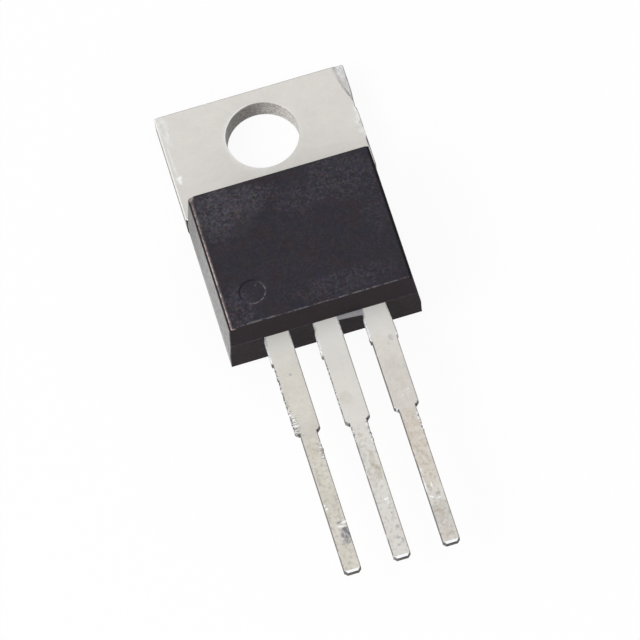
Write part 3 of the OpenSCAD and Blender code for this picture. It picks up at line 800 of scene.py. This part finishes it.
# Pale marks on the moulding, most of them painted highlights: a broken line along the front face's
# edge at the lead end, the ejector mark's ring on its lit side and the parting line on the lead
# end; besides, a faint pale patch on the front face and a small pale mark beside the ejector mark.
pale_and_highlight = np.maximum.reduce([
    0.22 * front_edge, 0.3 * ring * smooth_step(side_of_mark, -0.1, 0.5),
    0.16 * bell(z, lead_front, 0.02) * (y < body_end + 0.05),
    dabs(body, [(-3.3, -5.3, 2.0, 1.6, 0, 0.045)]) * (z > 4.45),
    dabs(body, [(-2.92, -9.92, 0.06, 0.025, 40, 0.5),
                (-2.82, -9.9, 0.06, 0.025, -50, 0.5)]) * (z > 4)])
# Painted shade: a dark strip along the right side's ledge and bevel, and the ejector mark's ring on
# its shaded side.
right_rim_shade = (z > rim_z - 0.03) * (z < body_t - 0.01) * (x > 4.5)
right_rim_shade = right_rim_shade * (1 - 0.6 * smooth_step(z, rim_z + 0.012, rim_z + 0.03))
sunk = np.maximum(ring * smooth_step(-side_of_mark, 0.0, 0.5), right_rim_shade)
dust = np.where(z > rim_z, dabs(body, [
    (3.0, -5.3, 2.2, 1.5, -20, 0.6), (-1.8, -5.0, 1.6, 0.8, 0, 0.8),
    (4.0, -7.5, 0.8, 1.6, 0, 0.4), (-3.6, -5.2, 1.2, 1.3, 0, 1),
    (-4.0, -11.0, 0.8, 1.6, 0, 0.7), (0.6, -5.9, 1.6, 1.0, 0, 0.6),
    (-3.9, -6.3, 0.8, 1.2, 0, 0.5), (1.5, -11.1, 3.0, 0.8, 0, 0.5)]), 0.36)
web_pale = 0.5 * bell(body_end - flash[..., 1], 0.14, 0.05)
off_body, off_web, off_notch_prism = 0 * x, 0 * flash[..., 0], 0 * notch_shade_prism[..., 0]
# The sunk values are painted shade: the right strip, the ring's shaded side and the whole notch
# prism.
moulding = piece("moulded_body", [(body, False), (flash, False), (notch_shade_prism, False)], {
    "rub_and_highlight": [rub_and_highlight, off_web, off_notch_prism], "pale_and_highlight": [pale_and_highlight, web_pale, off_notch_prism],
    "sunk": [sunk, off_web, 1 + off_notch_prism], "dust": [dust, off_web, off_notch_prism],
    "web": [off_body, 1 + off_web, off_notch_prism]})

epoxy, tree, shader, place = finish("black_epoxy", Specular_IOR_Level=0.2)
rubbed_and_highlight, pale_marks_and_highlights, painted_shade, dusty, on_web = read_marks(tree, "rub_and_highlight", "pale_and_highlight", "sunk", "dust", "web")
facing = add(tree, "SeparateXYZ", {0: add(tree, "NewGeometry").outputs["Normal"]})
on_side = band(tree, calc(tree, "ABSOLUTE", facing.outputs["X"]), 0.85, 0.95)
on_end = band(tree, facing.outputs["Y"], -0.85, -0.95)
cloud = band(tree, grain(tree, place, 0.45, 5, 0.6), 0.35, 0.65)
tint = band(tree, grain(tree, place, 1.7, 3, 0.6), 0.40, 0.60)
blotch = band(tree, grain(tree, place, 3.0, 5, 0.7), 0.38, 0.62)
filler = band(tree, grain(tree, place, 8.5, 2, 0.5), 0.46, 0.62)
grains = add(tree, "TexNoise", {"Vector": place, "Scale": 6.0, "Detail": 2.0}).outputs["Color"]
tinted = add(tree, "VectorMath", {0: grains, 1: (0.115, 0.100, 0.125)}, operation="MULTIPLY")
strength = band(tree, dusty, 0, 1, 0.2, 1.0)
broken = band(tree, grain(tree, place, 5.0, 3), 0.4, 0.58, 0.35, 1.0)
dark = blend(tree, tint, (0.0170, 0.0115, 0.0145, 1), (0.0130, 0.0120, 0.0205, 1))
dark = blend(tree, times(tree, cloud, 0.5), dark, (0.0185, 0.0155, 0.0235, 1))
dark = blend(tree, times(tree, blotch, strength), dark, (0.030, 0.0275, 0.038, 1))
dark = blend(tree, times(tree, filler, strength, 0.75), dark, tinted.outputs[0])
# Painted reflection: the lead-end faces and the side faces take warmer tints by which way they
# face.
dark = blend(tree, times(tree, on_end, 0.8), dark, (0.024, 0.0175, 0.0195, 1))
dark = blend(tree, times(tree, on_side, 0.8), dark, (0.031, 0.024, 0.018, 1))
# The left bevel's painted highlight, broken up by noise.
dark = blend(tree, times(tree, rubbed_and_highlight, broken), dark, (0.48, 0.39, 0.35, 1))
# Painted light: the flash web is coloured a light grey, lighter than the epoxy, where it lies in
# shade.
dark = blend(tree, on_web, dark, (0.28, 0.275, 0.295, 1))
# Pale marks and painted highlights, broken up by noise.
dark = blend(tree, times(tree, pale_marks_and_highlights, broken, broken), dark, (0.42, 0.41, 0.42, 1))
# Painted shade: near black where the sunk values are.
dark = blend(tree, times(tree, painted_shade, 0.8), dark, (0.004, 0.003, 0.004, 1))
tree.links.new(dark, shader.inputs["Base Color"])
from_foot = add(tree, "SeparateXYZ", {0: place}).outputs["Y"]
smoother = times(tree, on_side, band(tree, from_foot, -4.0, -8.0, 0.15, 0.23))
gloss = calc(tree, "SUBTRACT", band(tree, blotch, 0, 1, 0.42, 0.50), smoother)
away = most(tree, on_end, band(tree, facing.outputs["X"], 0.3, 0.6), painted_shade)
gloss = calc(tree, "ADD", gloss, times(tree, away, 0.4))
tree.links.new(gloss, shader.inputs["Roughness"])
relief(tree, shader, grain(tree, place, 6.0, 3), 0.005)
moulding.data.materials.append(epoxy)
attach(moulding, "root")
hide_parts("body_moulding")


# Floor and light
# A plain white table and soft white light from all round, with a large soft lamp high on the left.
# The table and the world look white to the camera and in reflections, and the table keeps the
# shadow. Its places and sizes are in metres.
floor_half, floor_white, sky_light = 0.6, 0.93, 0.72
lamp_place, lamp_aim = Vector((-0.40, -0.12, 0.38)), Vector((0, -0.011, 0))


def white_share(tree):
    """One for rays from the camera and for those that reflections and glass send on, nought for
    others."""
    rays = add(tree, "LightPath")
    return most(tree, *(rays.outputs["Is " + kind + " Ray"]
                        for kind in ("Camera", "Glossy", "Transmission")))


floor_mesh = bpy.data.meshes.new("floor")
floor_corners = floor_half * np.array([(-1, -1, 0), (1, -1, 0), (1, 1, 0), (-1, 1, 0)])
floor_mesh.from_pydata(floor_corners.tolist(), [], [(0, 1, 2, 3)])
floor = bpy.data.objects.new("floor", floor_mesh)
bpy.context.scene.collection.objects.link(floor)
paper, tree, shader, _ = finish("white_table", Base_Color=(0.9, 0.9, 0.9, 1), Roughness=0.9,
                                Specular_IOR_Level=0.0)
glow = add(tree, "Emission", {"Color": (1, 1, 1, 1), "Strength": 1.0})
mixed = add(tree, "MixShader", {0: times(tree, white_share(tree), floor_white),
                                1: shader.outputs[0], 2: glow.outputs[0]})
tree.links.new(mixed.outputs[0], tree.nodes["Material Output"].inputs["Surface"])
floor_mesh.materials.append(paper)

world = bpy.data.worlds.new("soft_light")
world.use_nodes = True
bpy.context.scene.world = world
tree = world.node_tree
sky = tree.nodes["Background"]
sky.inputs["Color"].default_value = (1, 1, 1, 1)
tree.links.new(band(tree, white_share(tree), 0, 1, sky_light, 1.0), sky.inputs["Strength"])

lamp = bpy.data.objects.new("lamp", bpy.data.lights.new("lamp", "AREA"))
lamp.data.shape, lamp.data.size, lamp.data.energy = "DISK", 0.35, 1.6
lamp.location = lamp_place
lamp.rotation_euler = (lamp_aim - lamp_place).to_track_quat("-Z", "Y").to_euler()
bpy.context.scene.collection.objects.link(lamp)

bpy.context.scene.view_settings.view_transform = "Standard"
